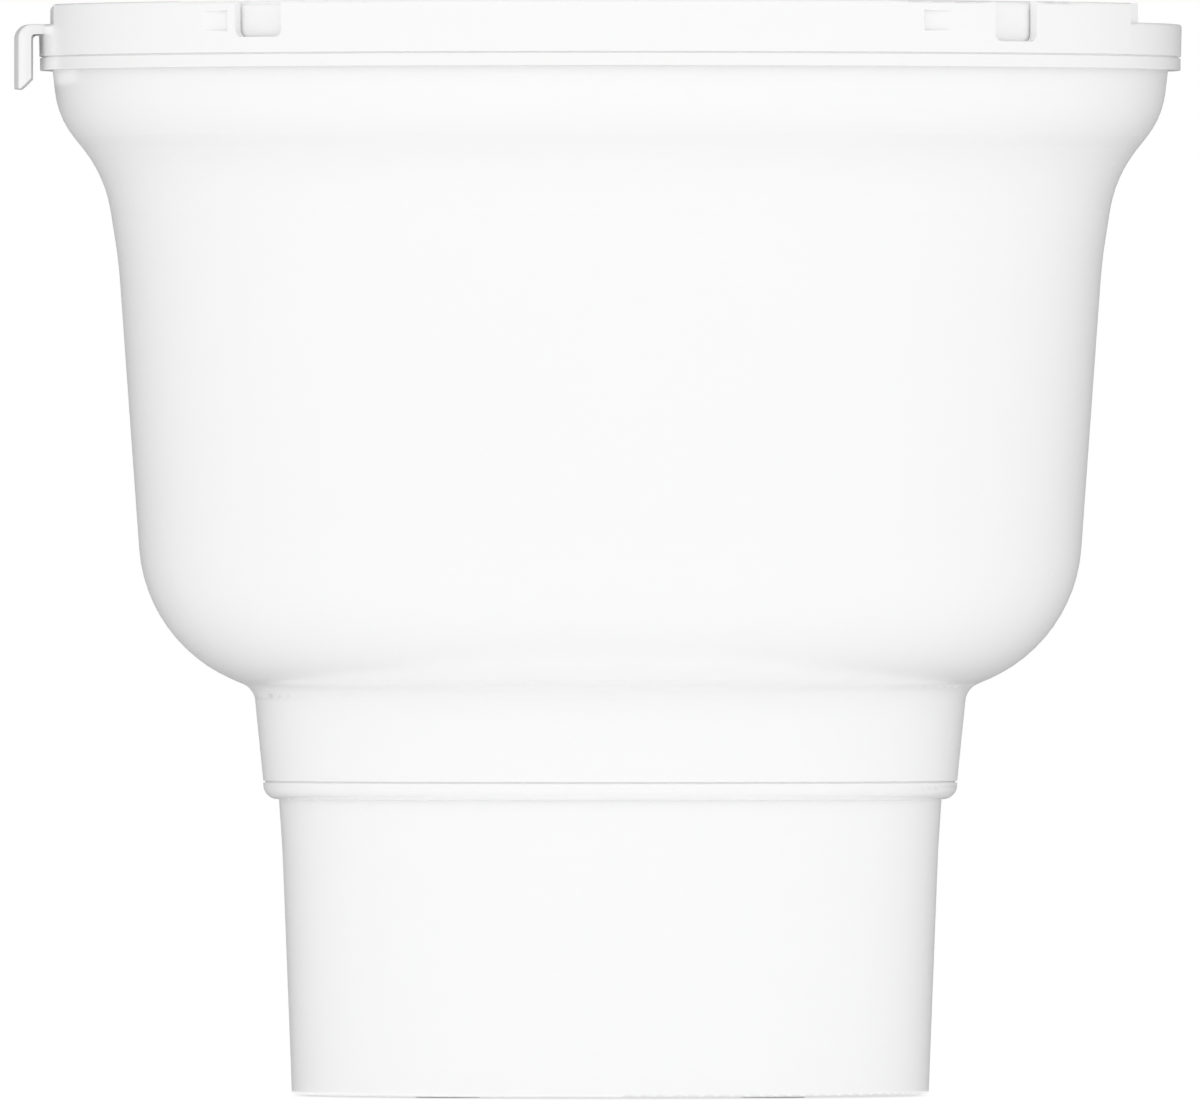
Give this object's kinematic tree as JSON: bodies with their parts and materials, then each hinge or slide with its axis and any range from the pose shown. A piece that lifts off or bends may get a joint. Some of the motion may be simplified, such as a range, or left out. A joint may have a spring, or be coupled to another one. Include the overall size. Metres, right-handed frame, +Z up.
{
  "type": "yogurt maker",
  "caption": "Bell-shaped yogurt maker on a tapered pedestal, with a drop-in pot, a lift-off lid ring with a pull tab and a hinged flip cover.",
  "frame": {"origin": "on the object's upright axis, at the level that the feet stand on", "axes": "+Z up along the axis, -Y the front, +X the hinge side, -X the pull tab's side"},
  "size_m": [0.2044, 0.2002, 0.1912],
  "materials": {
    "body_white": "smooth satin moulding",
    "pot_white": "smooth food-grade moulding",
    "lid_white": "smooth satin moulding",
    "base_white": "fine texture",
    "foot_rubber": "matte",
    "seal_silicone": "matte silicone",
    "screw_steel": "zinc plated",
    "deck_phenolic": "moulded phenolic",
    "plate_aluminium": "turned",
    "element_mat": "bonded heater mat",
    "felt": "glass-fibre felt",
    "clamp_steel": "sheet steel",
    "thermostat_body": "moulded phenolic",
    "fuse_case": "drawn case",
    "inlet_black": "fine texture",
    "pin_brass": "turned",
    "lead_brown": "wire insulation",
    "lead_blue": "wire insulation",
    "pin_steel": "ground"
  },
  "bodies": {
    "housing": {"outer_housing": "body_white", "pedestal": "body_white", "base_plate": "base_white", "rubber_feet": "foot_rubber", "neck_screws": "screw_steel", "deck_screws": "screw_steel", "heater_deck": "deck_phenolic", "heating_plate": "plate_aluminium", "heating_element": "element_mat", "insulation_disc": "felt", "clamp_plate": "clamp_steel", "clamp_studs": "screw_steel", "clamp_nuts": "screw_steel", "thermostat": "thermostat_body", "thermostat_strap": "clamp_steel", "strap_screws": "screw_steel", "thermal_fuse": "fuse_case", "fuse_clip": "clamp_steel", "inlet_socket": "inlet_black", "inlet_pins": "pin_brass", "lead_live": "lead_brown", "lead_link": "lead_brown", "lead_heater": "lead_brown", "lead_neutral": "lead_blue"},
    "pot": {"inner_pot": "pot_white"},
    "lid": {"lid_ring": "lid_white", "pot_seal": "seal_silicone", "cover_seal": "seal_silicone", "hinge_pin": "pin_steel"},
    "cover": {"lid_cover": "lid_white"}
  },
  "joints": [
    {"name": "pot_lift", "type": "slide", "parent": "housing", "child": "pot", "axis": [0, 0, 1], "range_m": [0, 0.12]},
    {"name": "lid_lift", "type": "slide", "parent": "pot", "child": "lid", "axis": [0, 0, 1], "range_m": [0, 0.05]},
    {"name": "cover_hinge", "type": "hinge", "parent": "lid", "child": "cover", "pos_m": [0.0861, 0, 0.1889], "axis": [0, 1, 0], "range_deg": [0, 95]}
  ]
}
